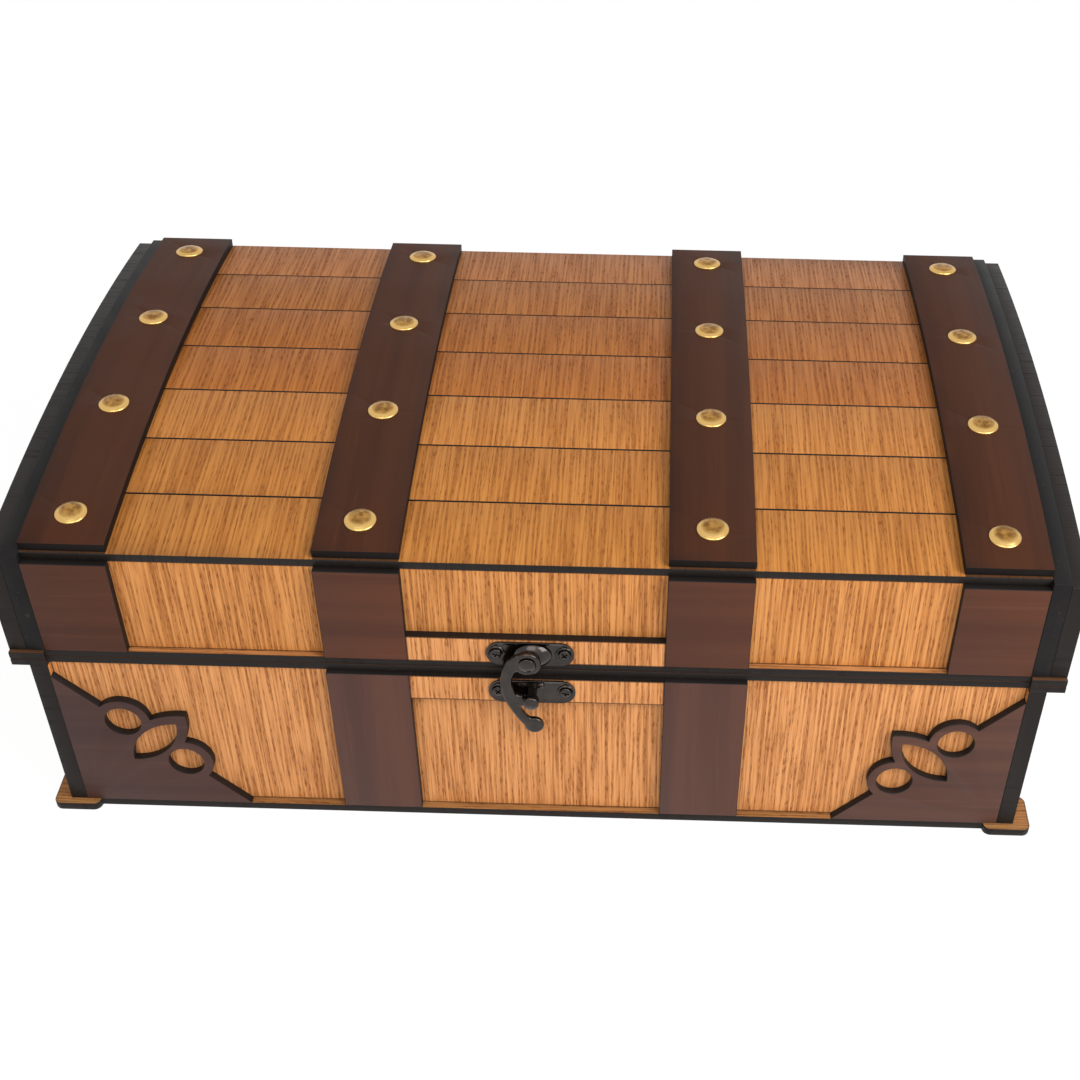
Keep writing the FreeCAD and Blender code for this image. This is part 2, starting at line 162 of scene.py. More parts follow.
# %% [markdown]
# A finish is the tree of one material. All its patterns start from the place on the piece, so
# they stay put when the piece moves, and a noise that is squeezed along one axis becomes grain.
# A laser browns the face along every cut, which is a mask from the board's own box.

# %% A finish for one material
BURN_CORE = 0.3
STRIP_END = 0.0008
STRIP_FADE = 0.0004


class Finish(Tree):
    """One material, with helpers for the patterns that a finish needs."""

    def __init__(self, name, **plain):
        self.material = bpy.data.materials.new(name)
        self.material.use_nodes = True
        super().__init__(self.material.node_tree)
        self.shader = self.tree.nodes["Principled BSDF"]
        for key, number in plain.items():
            self.shader.inputs[key.replace("_", " ")].default_value = number
        self.position = self.node("ShaderNodeTexCoord", out="Object")

    def stretched(self, scale, shift=(0, 0, 0)):
        return self.node("ShaderNodeMapping", None, {0: self.position, 1: shift, 3: scale})

    def noise(self, where, scale, detail=2.0, rough=0.5, warp=0.0):
        sockets = {"Vector": where, "Scale": scale, "Detail": detail, "Roughness": rough, "Distortion": warp}
        return self.node("ShaderNodeTexNoise", None, sockets)

    def ramp(self, value, low, high):
        """0 at low, 1 at high and smooth between; low may be the larger one."""
        kind = {"interpolation_type": "SMOOTHSTEP"}
        return self.node("ShaderNodeMapRange", kind, {0: value, 1: low, 2: high})

    def mix(self, mask, first, second):
        sockets = {0: mask, 6: first, 7: second}
        return self.node("ShaderNodeMix", {"data_type": "RGBA"}, sockets, out=2)

    def part(self, vector, letter):
        return self.node("ShaderNodeSeparateXYZ", None, {0: vector}, out="XYZ".index(letter.upper()))

    def normal(self, letter):
        return self.part(self.node("ShaderNodeTexCoord", out="Normal"), letter)

    def facing(self, letter):
        """1 on faces that look along the axis, either way, else 0."""
        return self.ramp(abs(self.normal(letter)), 0.92, 0.985)

    def scorch(self, name, face, reach, behind):
        """1 at the outline of a flat board, falling to 0 within the reach of the burn.

        The long edges may lie a little behind the board's box, where its ends stand proud.
        """
        low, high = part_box(name)
        burn = 0.0
        for axis, letter in enumerate("xyz"):
            if letter != face:
                middle = (low[axis] + high[axis]) / 2
                half = (high[axis] - low[axis]) / 2 - (behind if letter == "y" else 0.0)
                out = abs(self.part(self.position, letter) - middle)
                burn = self.ramp(out, half - reach, half - reach * BURN_CORE) + burn
        return burn

    def before(self, strap):
        """1 on the strip of board in front of a strap's end, where the strap's shadow is painted."""
        low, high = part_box(strap)
        middle, half = (low.x + high.x) / 2, (high.x - low.x) / 2
        aside = abs(self.part(self.position, "x") - middle)
        end = low.y + STRIP_END
        in_front = self.ramp(self.part(self.position, "y"), end + STRIP_FADE, end)
        return self.ramp(aside, half, half - STRIP_FADE) * in_front

    def wear(self, colour, roughness, height, depth, strength):
        """Plug what varies over the surface into the shader."""
        bump = self.node("ShaderNodeBump", None, {"Strength": strength, "Distance": depth, "Height": height})
        for value, socket in ((colour, "Base Color"), (roughness, "Roughness"), (bump, "Normal")):
            self.tree.links.new(value.out, self.shader.inputs[socket])
        return self.material


def rgb(red, green, blue):
    return (red, green, blue, 1.0)


print("finishes ready")


# %% [markdown]
# ## Light veneer
# The boards are thin sheets with a warm, straight-grained veneer on both faces. Its figure is
# made of fine lines about a millimetre apart, dark beside pale, with short brown dashes in the
# dark ones. Each is a noise pulled out along the grain, and only the scale differs; a little of
# a wave is added to the lines, because noise alone never runs on from end to end.
#
# The boards are cut by laser. The cut edges are burnt almost black, so every face that doesn't
# look along the thickness turns dark, and the flat faces are browned in a hairline around
# their outline. The strip of the first slat in front of each strap's end is darkened the same
# way, as painted shadow of the strap.

# %% The light veneer
LINE_STRETCH = 0.028
DASH_STRETCH = 0.15
THROUGH = 0.03
BAND_SCALE = 160
WAVE_SCALE = 165
LINE_SCALE = 1200
PORE_SCALE = 2000
THREAD_SCALE = 2200
BURN_AND_SHADE_SHARE = 0.88
SCORCHED = rgb(0.0100, 0.0078, 0.0070)
SOOT = rgb(0.015, 0.011, 0.009)
CHARRED_AND_SHADE = rgb(0.045, 0.020, 0.011)
BRIGHT = (0.760, 0.345, 0.125)
PALE = (0.620, 0.268, 0.091)
WARM = (0.500, 0.196, 0.057)
DEEP = (0.225, 0.068, 0.016)


def tinted(colour, tint):
    return rgb(*[part * share for part, share in zip(colour, tint)])


def figure_scale(grain, face, along):
    """Mapping scale that pulls a pattern along the grain and through the sheet."""
    return [along if letter == grain else THROUGH if letter == face else 1.0 for letter in "xyz"]


def light_veneer(name, grain, face, tint, seed, figure=1.0, reach=0.0006, behind=0.0, straps=()):
    wood = Finish(name, Roughness=0.5, Specular_IOR_Level=0.18)
    bright, pale, warm, deep = [tinted(colour, tint) for colour in (BRIGHT, PALE, WARM, DEEP)]
    shift = (seed * 0.31, seed * 0.17, seed * 0.23)
    line_way = wood.stretched(figure_scale(grain, face, LINE_STRETCH), shift)
    dash_way = wood.stretched(figure_scale(grain, face, DASH_STRETCH), shift)
    bands = wood.noise(line_way, BAND_SCALE, 2, 0.5, 0.5)
    across = "xyz".replace(grain, "").replace(face, "").upper()
    waving = {"Vector": line_way, "Scale": WAVE_SCALE, "Distortion": 8.0, "Detail": 2.0, "Detail Scale": 2.0}
    waves = wood.node("ShaderNodeTexWave", {"bands_direction": across}, waving)
    lines = wood.noise(line_way, LINE_SCALE, 1, 0.5, 0.3) * 0.81 + waves * 0.19
    threads = wood.noise(line_way, THREAD_SCALE, 2, 0.6, 0.2)
    pores = wood.noise(dash_way, PORE_SCALE, 1, 0.5, 0.2)
    dark_lines = wood.ramp(lines, 0.50, 0.64)
    dashes = wood.ramp(pores, 0.52, 0.64) * wood.ramp(lines, 0.44, 0.60)
    board = wood.mix(wood.ramp(bands, 0.20, 0.80), warm, pale)
    board = wood.mix(wood.ramp(lines, 0.50, 0.36) * (0.54 * figure), board, bright)
    board = wood.mix(dark_lines * (0.42 * figure), board, deep)
    board = wood.mix(wood.ramp(threads, 0.50, 0.64) * (0.36 * figure), board, deep)
    board = wood.mix(dashes * (0.78 * figure), board, deep)
    board = wood.mix(wood.scorch(name, face, reach, behind) * BURN_AND_SHADE_SHARE, board, CHARRED_AND_SHADE)
    # Painted shadow: the strip in front of each strap's end takes the same dark brown.
    for strap in straps:
        board = wood.mix(wood.before(strap) * BURN_AND_SHADE_SHARE, board, CHARRED_AND_SHADE)
    edge = wood.mix(wood.noise(wood.position, 900, 2), SCORCHED, SOOT)
    surface = wood.mix(wood.facing(face), edge, board)
    gloss = 0.47 + dashes * 0.20 + (lines - 0.5) * 0.20
    return wood.wear(surface, gloss, threads * 0.4 - dashes - dark_lines * 0.4, depth=0.00012, strength=0.3)


print("pale, warm and deep tones, scorched edges")


# %% [markdown]
# ## Dark veneer
# The straps and corners are cut from a dark brown veneer. It is matt and almost even, with a
# faint grain that only shows where light grazes it. A few slow bands and fine threads keep it
# from looking like paint.

# %% The dark veneer
BROWN = (0.090, 0.0300, 0.0145)
BLACK_BROWN = (0.060, 0.0205, 0.0110)
RUST = (0.125, 0.0450, 0.0230)


def dark_veneer(name, grain, face, tint, seed, sheen=0.18):
    wood = Finish(name, Roughness=0.5, Specular_IOR_Level=sheen)
    brown, black_brown, rust = [tinted(colour, tint) for colour in (BROWN, BLACK_BROWN, RUST)]
    shift = (seed * 0.27, seed * 0.11, seed * 0.19)
    long_way = wood.stretched(figure_scale(grain, face, LINE_STRETCH), shift)
    bands = wood.noise(long_way, 90, 3, 0.5, 0.6)
    threads = wood.noise(long_way, 650, 3, 0.6, 0.3)
    board = wood.mix(wood.ramp(bands, 0.35, 0.7) * 0.8, brown, black_brown)
    board = wood.mix(wood.ramp(threads, 0.55, 0.75) * 0.4, board, rust)
    board = wood.mix(wood.ramp(threads, 0.42, 0.28) * 0.4, board, black_brown)
    surface = wood.mix(wood.facing(face), SCORCHED, board)
    return wood.wear(surface, 0.46 + threads * 0.12, threads, depth=0.0001, strength=0.2)


print("dark veneer ready")


# %% [markdown]
# ## Black edges
# The end boards show only their stained, slightly glossy black edges from the front. Handling
# leaves small pale scuffs, so a sparse noise lifts the colour in specks and thin lines.

# %% The black stained board
def black_board(name):
    stain = Finish(name, Roughness=0.42, Specular_IOR_Level=0.08)
    cloud = stain.noise(stain.position, 90, 3, 0.6)
    specks = stain.ramp(stain.noise(stain.position, 1100, 2, 0.5), 0.70, 0.78)
    rub_wear_and_rim_highlight = stain.ramp(stain.noise(stain.stretched((1, 0.12, 1)), 500, 3, 0.6), 0.66, 0.80)
    black = stain.mix(cloud, rgb(0.0095, 0.0090, 0.0090), rgb(0.0190, 0.0170, 0.0165))
    black = stain.mix(specks * 0.30 + rub_wear_and_rim_highlight * 0.30, black, rgb(0.16, 0.14, 0.125))
    return stain.wear(black, 0.34 + cloud * 0.22, cloud + specks, depth=0.0001, strength=0.25)


print("black edge ready")


# %% [markdown]
# ## Metals
# The nails are thin pressed brass. Their domes are tinted brown in the middle and bright brass
# at the rim by the tilt of the face: painted reflection and painted highlight. The latch and
# hinges are dark castings, tumbled smooth and thinly lacquered.

# %% Brass and antique metal
def brass_finish(name):
    brass = Finish(name, Metallic=1.0)
    mottle = brass.noise(brass.position, 420, 4, 0.6)
    spots = brass.ramp(brass.noise(brass.position, 1500, 2, 0.5), 0.6, 0.75)
    # Painted reflection: the brown middle of each dome.
    tint = brass.mix(brass.ramp(mottle, 0.36, 0.64), rgb(0.46, 0.24, 0.060), rgb(0.21, 0.095, 0.020))
    tint = brass.mix(spots * 0.5, tint, rgb(0.20, 0.12, 0.04))
    # Painted highlight: faces that tilt towards the rim are lifted to bright brass.
    rub_wear_and_rim_highlight = brass.ramp(brass.normal("z"), 0.995, 0.90)
    tint = brass.mix(rub_wear_and_rim_highlight, tint, rgb(0.68, 0.43, 0.145))
    return brass.wear(tint, 0.18 + mottle * 0.2, mottle, depth=0.00015, strength=0.3)


def antique_finish(name):
    cast = Finish(name, Metallic=0.85, Coat_Weight=0.65, Coat_Roughness=0.12)
    cloud = cast.noise(cast.position, 260, 3, 0.55)
    grit = cast.noise(cast.position, 2200, 2, 0.5)
    tint = cast.mix(cast.ramp(cloud, 0.3, 0.7), rgb(0.012, 0.0075, 0.0050), rgb(0.032, 0.0205, 0.0145))
    tint = cast.mix(cast.ramp(grit, 0.66, 0.78) * 0.25, tint, rgb(0.22, 0.16, 0.11))
    return cast.wear(tint, 0.15 + cloud * 0.16, grit * 0.5 + cloud, depth=0.00005, strength=0.2)


brass = brass_finish("domed_brass")
antique = antique_finish("antique_cast")
print("metals:", brass.name, antique.name)


# %% [markdown]
# ## Give each board its finish
# Every board gets its own piece of veneer, because neighbouring slats never share a grain. A
# table by name would be long; the names already say what a board is, so rules are enough. The
# tints are small shifts of the same veneer, and several are painted light: the slats are
# darker than the front boards and darker and redder behind the third, painted shade over the
# arch; the top straps are darker than the front ones, painted shade; the left corner and the
# left front strap are darker, painted shade towards the left; and the base straps are lighter
# and bluer, painted reflection. The frames and the floor are a cooler, duller sheet.

# %% Finish by name
# Painted shade: every slat is tinted darker than the front boards, and darker again towards the back.
SLAT_SHADE_TINTS = [(0.84, 0.77, 0.49), (0.83, 0.75, 0.48), (0.86, 0.78, 0.53), (0.69, 0.55, 0.33),
              (0.65, 0.52, 0.31), (0.64, 0.54, 0.38), (0.70, 0.63, 0.62)]
BASE_TINT = (1.035, 1.035, 1.05)
RIM_TINT = (0.958, 0.917, 0.762)
LEDGE_TINT = (0.78, 0.82, 0.86)
FLOOR_TINT = (0.55, 0.60, 0.60)
# Painted shade: the straps on top are tinted darker than the same dark veneer on the front.
LID_STRAP_SHADE_TINT = (0.72, 0.72, 0.68)
RIM_STRAP_TINT = (1.02, 1.02, 1.08)
# Painted shade: the leftmost front strap is tinted darker, for the light falling off to the left.
RIM_STRAP_1_SHADE_TINT = (0.8364, 0.8364, 0.8856)
# Painted reflection: the low front straps are tinted lighter and bluer, for the light they reflect.
BASE_STRAP_SHEEN_TINT = (1.08, 1.30, 1.75)
# Painted shade: the left corner is tinted darker than the right one, for the light falling off to the left.
CORNER_L_SHADE_TINT = (0.74, 0.96, 1.55)
CORNER_R_TINT = (1.00, 1.22, 1.62)
SLAT_FIGURE = 0.75
SLAT_BURN = 0.0003
# The base frame's top is darkened 1.6 mm in from its outline, where it sits under the lid.
LEDGE_DARK_BORDER = 0.0016
FRAME_EARS = 0.002
LID_STRAPS = ["lid_strap_" + number for number in "1234"]


def seed_of(name):
    """A number from the letters of the name, the same in every run."""
    return sum(ord(letter) for letter in name) % 37


def finish_for(name):
    seed = seed_of(name)
    if name.startswith("lid_slat"):
        tint = SLAT_SHADE_TINTS[int(name[-1]) - 1]
        # The first slat takes a painted shadow in front of each strap's end.
        straps = LID_STRAPS if name == "lid_slat_1" else ()
        return light_veneer(name, "y", "z", tint, seed, SLAT_FIGURE, SLAT_BURN, straps=straps)
    if name.startswith("lid_strap"):
        return dark_veneer(name, "y", "z", LID_STRAP_SHADE_TINT, seed, 0.08)
    if name.startswith("rim_strap"):
        tint = RIM_STRAP_1_SHADE_TINT if name == "rim_strap_front_1" else RIM_STRAP_TINT
        return dark_veneer(name, "x", "y", tint, seed)
    if name.startswith("corner"):
        tint = CORNER_L_SHADE_TINT if name.endswith("_l") else CORNER_R_TINT
        return dark_veneer(name, "x", "y", tint, seed, 0.25)
    if name.startswith("base_strap"):
        return dark_veneer(name, "z", "y", BASE_STRAP_SHEEN_TINT, seed, 0.25)
    if name == "base_frame":
        return light_veneer(name, "x", "z", LEDGE_TINT, seed, reach=LEDGE_DARK_BORDER, behind=FRAME_EARS)
    if name == "lid_frame":
        return light_veneer(name, "x", "z", LEDGE_TINT, seed, behind=FRAME_EARS)
    if name == "base_floor":
        return light_veneer(name, "x", "z", FLOOR_TINT, seed)
    if name.startswith(("base_end", "lid_end_outer")):
        return light_veneer(name, "z", "x", RIM_TINT, seed)
    if name.startswith("lid_end_inner"):
        return black_board(name)
    if "panel" in name or "pad" in name:
        return light_veneer(name, "z", "y", RIM_TINT if name.startswith("lid") else BASE_TINT, seed)
    return brass if name == "lid_studs" else antique


for name, node in nodes.items():
    finish = finish_for(name)
    node.data.materials.clear()
    node.data.materials.append(finish)
print("finished", len(nodes), "nodes")


# %% [markdown]
# ## Ease the edges
# No real edge is perfectly sharp, and a hairline of light along an edge tells the eye how thick
# a board is. The solids arrive as loose triangles, so they are welded, their flat faces are
# made whole again and only then they are bevelled by a quarter of a millimetre. Boards that
# screws go through stay flat shaded, because smooth shading would smear round the holes. The
# modifiers leave the measured mesh itself alone.

# %% Weld and bevel the solids
METAL = ("latch_", "catch_", "hinge_leaf", "hinge_pins")
METAL_EDGE = 0.00022
BOARD_EDGE = 0.00024


def add_bevel(piece, width, segments, degrees):
    """Round the edges that are sharper than the angle."""
    bevel = piece.modifiers.new("ease", "BEVEL")
    bevel.width = width
    bevel.segments = segments
    bevel.limit_method = "ANGLE"
    bevel.angle_limit = math.radians(degrees)
    return bevel


def ease(node, width, pierced):
    weld = node.modifiers.new("weld", "WELD")
    weld.merge_threshold = 0.00001
    whole = node.modifiers.new("whole_faces", "DECIMATE")
    whole.decimate_type = "DISSOLVE"
    whole.angle_limit = math.radians(0.6)
    add_bevel(node, width, 2, 32).harden_normals = not pierced
    for face in node.data.polygons:
        face.use_smooth = not pierced


for name, node in nodes.items():
    pad = "pad" in name
    metal = name.startswith(METAL) and not pad
    ease(node, METAL_EDGE if metal else BOARD_EDGE, pad or "panel" in name)
print("edges eased")


# %% [markdown]
# ## Tools for modelling by operator
# An operator works on whatever is selected, so each piece starts with nothing selected. These
# helpers select by place and then leave the work to the same operators as the menus use.

# %% Selection helpers
def clear_selection():
    bpy.ops.object.select_all(action="DESELECT")


def pick(piece):
    """Select one piece alone and make it the active one."""
    clear_selection()
    piece.select_set(True)
    bpy.context.view_layer.objects.active = piece


def select_where(piece, test):
    """Select the vertices of the piece in edit mode that pass the test."""
    shape = bmesh.from_edit_mesh(piece.data)
    for vert in shape.verts:
        vert.select_set(bool(test(vert.co)))
    shape.select_flush_mode()
    bmesh.update_edit_mesh(piece.data)


def settle(piece, matrix):
    """Put the piece in its place, and the place into its mesh."""
    piece.matrix_world = matrix
    pick(piece)
    bpy.ops.object.transform_apply(location=True, rotation=True, scale=True)


def apply_all(piece):
    pick(piece)
    for modifier in list(piece.modifiers):
        bpy.ops.object.modifier_apply(modifier=modifier.name)


print("helpers ready")


# %% [markdown]
# ## Turned shapes
# Nails, screw cups and bosses are all round, like work from a lathe. A spin would do, but
# pulling a disc up ring by ring is easier to read: each row says how far the ring rises and
# how wide it is beside the last one.

# %% Pull a disc into a turned shape
def turned(radius, rings, vertices=40):
    """Round piece on the origin that rises along Z through rows of rise and share of width."""
    clear_selection()
    bpy.ops.mesh.primitive_circle_add(vertices=vertices, radius=radius, fill_type="NGON")
    piece = bpy.context.object
    bpy.ops.object.mode_set(mode="EDIT")
    bpy.ops.mesh.select_all(action="SELECT")
    for rise, share in rings:
        bpy.ops.mesh.extrude_region_move(TRANSFORM_OT_translate={"value": (0, 0, rise)})
        bpy.ops.transform.resize(value=(share, share, 1), center_override=(0, 0, 0))
    bpy.ops.mesh.select_all(action="SELECT")
    bpy.ops.mesh.normals_make_consistent(inside=False)
    bpy.ops.object.mode_set(mode="OBJECT")
    pick(piece)
    bpy.ops.object.shade_smooth_by_angle(angle=math.radians(50))
    return piece


def join(pieces, name, finish):
    """Make one named piece of two or more."""
    clear_selection()
    for piece in pieces:
        piece.select_set(True)
    bpy.context.view_layer.objects.active = pieces[0]
    bpy.ops.object.join()
    whole = bpy.context.object
    whole.name = name
    whole.data.materials.clear()
    whole.data.materials.append(finish)
    return whole


print("lathe ready")


# %% [markdown]
# ## The domed nail
# Pressed nails have a thin rolled rim, a shallow step and a low dome. A squashed sphere would
# miss the rim, which is the brightest line on the real nail.

# %% Model one nail
NAIL_RADIUS = 0.0053
NAIL_RINGS = [(0.00030, 1.000), (0.00030, 0.960), (0.00010, 0.930), (0.00024, 0.930),
              (0.00028, 0.860), (0.00022, 0.760), (0.00014, 0.600), (0.00005, 0.360)]
first_nail = turned(NAIL_RADIUS, NAIL_RINGS)
print("one nail has", len(first_nail.data.polygons), "faces")


# %% [markdown]
# The nails stand square to the curved straps. The arch is part of a circle through the front
# edge, the crown and the back edge, so its radius follows from the slats' own box, and each
# nail is a copy that is moved along that circle.

# %% Set the nails along the straps
ARCH_RISE = 0.006
STRAP_TOP = 0.00305
NAIL_PITCH = 0.058

half_span = -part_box("lid_slat_1")[0].y
crown_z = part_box("lid_strap_2")[1].z
arch_radius = (half_span ** 2 + ARCH_RISE ** 2) / (2 * ARCH_RISE)
arch_centre = crown_z - STRAP_TOP - arch_radius
reach = arch_radius + STRAP_TOP

nails = []
for strap in (1, 2, 3, 4):
    low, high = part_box("lid_strap_" + str(strap))
    for step in (-1.5, -0.5, 0.5, 1.5):
        angle = step * NAIL_PITCH / arch_radius
        place = Vector(((low.x + high.x) / 2, reach * math.sin(angle), arch_centre + reach * math.cos(angle)))
        nail = first_nail.copy()
        nail.data = first_nail.data.copy()
        bpy.context.collection.objects.link(nail)
        twist = Matrix.Rotation(strap * 0.7 + step, 4, "Z")
        settle(nail, Matrix.Translation(place) @ Matrix.Rotation(-angle, 4, "X") @ twist)
        nails.append(nail)
bpy.data.objects.remove(first_nail)
nail_heads = join(nails, "nail_heads", brass)
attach(nail_heads, "lid")
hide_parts("lid_studs")
print("nails set:", len(nails))


# %% [markdown]
# ## The cast plates
# Both latch plates are castings: a rounded bar outline with a bead along its edge, a sunk
# field, and a cup round each screw. A plane with two rounded ends gives the outline, an inset
# gives the bead, and the cups and bosses are turned pieces that stand in the field.

# %% Model a plate with its bead
PLATE_LONG = 0.0294
PLATE_TALL = 0.0100
PLATE_THICK = 0.0010
BEAD = 0.0011
FIELD_STEP = 0.00044
FIELD_SUNK = 0.0006
FORWARD = Matrix.Rotation(math.pi / 2, 4, "X")


def cast_plate(middle):
    """Plate whose face is centred on the given point and looks along -Y."""
    clear_selection()
    bpy.ops.mesh.primitive_plane_add(size=1)
    plate = bpy.context.object
    back = middle + Vector((0, PLATE_THICK, 0))
    settle(plate, Matrix.Translation(back) @ FORWARD @ Matrix.Diagonal((PLATE_LONG, PLATE_TALL, 1, 1)))
    bpy.ops.object.mode_set(mode="EDIT")
    bpy.ops.mesh.select_all(action="SELECT")
    bpy.ops.mesh.bevel(affect="VERTICES", offset=PLATE_TALL * 0.499, segments=10)
    bpy.ops.mesh.remove_doubles(threshold=0.00005)
    bpy.ops.mesh.extrude_region_move(TRANSFORM_OT_translate={"value": (0, -PLATE_THICK, 0)})
    bpy.ops.mesh.inset(thickness=BEAD)
    bpy.ops.transform.translate(value=(0, FIELD_SUNK, 0))
    bpy.ops.mesh.inset(thickness=FIELD_STEP)
    bpy.ops.mesh.select_all(action="SELECT")
    bpy.ops.mesh.normals_make_consistent(inside=False)
    bpy.ops.object.mode_set(mode="OBJECT")
    add_bevel(plate, 0.00038, 3, 35)
    apply_all(plate)
    bpy.ops.object.shade_smooth_by_angle(angle=math.radians(35))
    return plate


print("plate ready")


# %% [markdown]
# Each cup is a raised ring with a dished floor, and a low screw head with a cross sits in it.
# The cross is cut by two thin blocks with a boolean, which keeps its corners crisp.

# %% Model cups and screw heads
CUP_RINGS = [(0.00030, 0.98), (0.00018, 0.93), (0.00000, 0.93), (-0.00022, 0.90), (-0.00016, 0.86)]
HEAD_RINGS = [(0.00045, 1.00), (0.00016, 0.90), (0.00010, 0.72), (0.00004, 0.50)]
CUP_RADIUS = 0.0031
HEAD_RADIUS = 0.0019
HEAD_SUNK = 0.0004
CROSS_BLADE = (0.0024, 0.0011, 0.00055)


def cup(place):
    ring = turned(CUP_RADIUS, CUP_RINGS)
    settle(ring, Matrix.Translation(place + Vector((0, FIELD_SUNK, 0))) @ FORWARD)
    return ring


def screw_head(place, turn):
    head = turned(HEAD_RADIUS, HEAD_RINGS)
    settle(head, Matrix.Translation(place + Vector((0, HEAD_SUNK, 0))) @ FORWARD)
    for quarter in (0, math.pi / 2):
        bpy.ops.mesh.primitive_cube_add(size=1)
        blade = bpy.context.object
        spin = Matrix.Rotation(turn + quarter, 4, "Y")
        settle(blade, Matrix.Translation(place) @ spin @ Matrix.Diagonal((*CROSS_BLADE, 1)))
        cut = head.modifiers.new("cross", "BOOLEAN")
        cut.operation = "DIFFERENCE"
        cut.object = blade
        apply_all(head)
        bpy.data.objects.remove(blade)
    return head


def screw_places(node):
    """Middle of a plate's face and the places of its two screws, from the screws' box."""
    low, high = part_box(node)
    middle = Vector(((low.x + high.x) / 2, low.y, (low.z + high.z) / 2))
    aside = Vector(((high.x - low.x) / 2 - HEAD_RADIUS, 0, 0))
    return middle, middle - aside, middle + aside


print("cup and screw ready")


# %% [markdown]
# The upper plate carries an oval boss that the hook turns on. The lower plate only has a small
# bump beside the catch. Both plates and their screws are then joined and told what they ride.

# %% Put the two plates together
BOSS_RADIUS = 0.0063
BOSS_FLAT = 0.78
BOSS_ASIDE = 0.0016
BOSS_GAP = 0.0003
BOSS_RINGS = [(0.12, 0.97), (0.22, 0.90), (0.26, 0.83), (0.22, 0.77), (0.12, 0.70), (0.06, 0.60)]
BUMP_RADIUS = 0.0013
BUMP_PLACE = Vector((0.0030, FIELD_SUNK, 0.0028))
BUMP_RINGS = [(0.35, 0.92), (0.25, 0.78), (0.12, 0.50)]

pivot = (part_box("latch_rivet")[0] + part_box("latch_rivet")[1]) / 2
hook_low, hook_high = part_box("latch_hook")


def scaled(rings, size):
    return [(rise * size, share) for rise, share in rings]


def boss(face_y):
    dome = turned(BOSS_RADIUS, scaled(BOSS_RINGS, face_y - hook_high.y - BOSS_GAP))
    place = Vector((pivot.x + BOSS_ASIDE, face_y, pivot.z))
    settle(dome, Matrix.Translation(place) @ FORWARD @ Matrix.Diagonal((1, BOSS_FLAT, 1, 1)))
    return dome


def bump(middle):
    knob = turned(BUMP_RADIUS, scaled(BUMP_RINGS, BUMP_RADIUS), 20)
    settle(knob, Matrix.Translation(middle + BUMP_PLACE) @ FORWARD)
    return knob


middle, left_screw, right_screw = screw_places("latch_screws")
latch_casting = join([cast_plate(middle), cup(left_screw), cup(right_screw), boss(middle.y)],
                     "latch_casting", antique)
latch_heads = join([screw_head(left_screw, 0.3), screw_head(right_screw, 0.9)], "latch_screw_heads", antique)

middle, left_screw, right_screw = screw_places("catch_screws")
catch_bump = bump(middle)
catch_casting = join([cast_plate(middle), cup(left_screw), cup(right_screw), catch_bump],
                     "catch_casting", antique)
catch_heads = join([screw_head(left_screw, 0.7), screw_head(right_screw, 0.2)], "catch_screw_heads", antique)

for piece, body, node in ((latch_casting, "lid", "latch_plate"), (latch_heads, "lid", "latch_screws"),
                          (catch_casting, "base", "catch_plate"), (catch_heads, "base", "catch_screws")):
    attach(piece, body)
    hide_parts(node)
    print(piece.name, len(piece.data.polygons), "faces, rides on", body)


# %% [markdown]
# ## The cast hook
# The hook swings on a rivet, bows out to the left, notches in under the catch and ends in a
# round thumb piece. Its body is a flat ribbon: one edge extruded along a bent path, turned and
# widened at each step. The lip that holds the catch is a second, short ribbon. Both paths are
# rows of x, z and width in millimetres from the rivet, which read more easily than metres.

# %% Draw the ribbons
ARM = [(-2.0, 1.4, 5.6), (-4.7, -0.5, 5.0), (-6.4, -3.4, 4.4), (-7.25, -6.6, 4.0), (-7.3, -9.8, 4.1),
       (-6.6, -13.0, 4.6), (-5.7, -16.0, 4.6), (-4.8, -19.0, 3.7), (-3.7, -21.6, 3.3),
       (-2.1, -24.3, 3.4), (-0.2, -26.6, 3.9), (1.2, -27.7, 4.2)]
LIP = [(-5.0, -15.9, 4.6), (-2.9, -16.7, 4.8), (-1.4, -17.2, 3.3), (0.0, -17.6, 2.4), (1.5, -17.6, 1.9)]
FIRST_STEP = 0.0002
MM = 0.001

hook_mid = (hook_low.y + hook_high.y) / 2
hook_thick = hook_high.y - hook_low.y


def heading(start, end):
    return math.atan2(end[1] - start[1], end[0] - start[0])


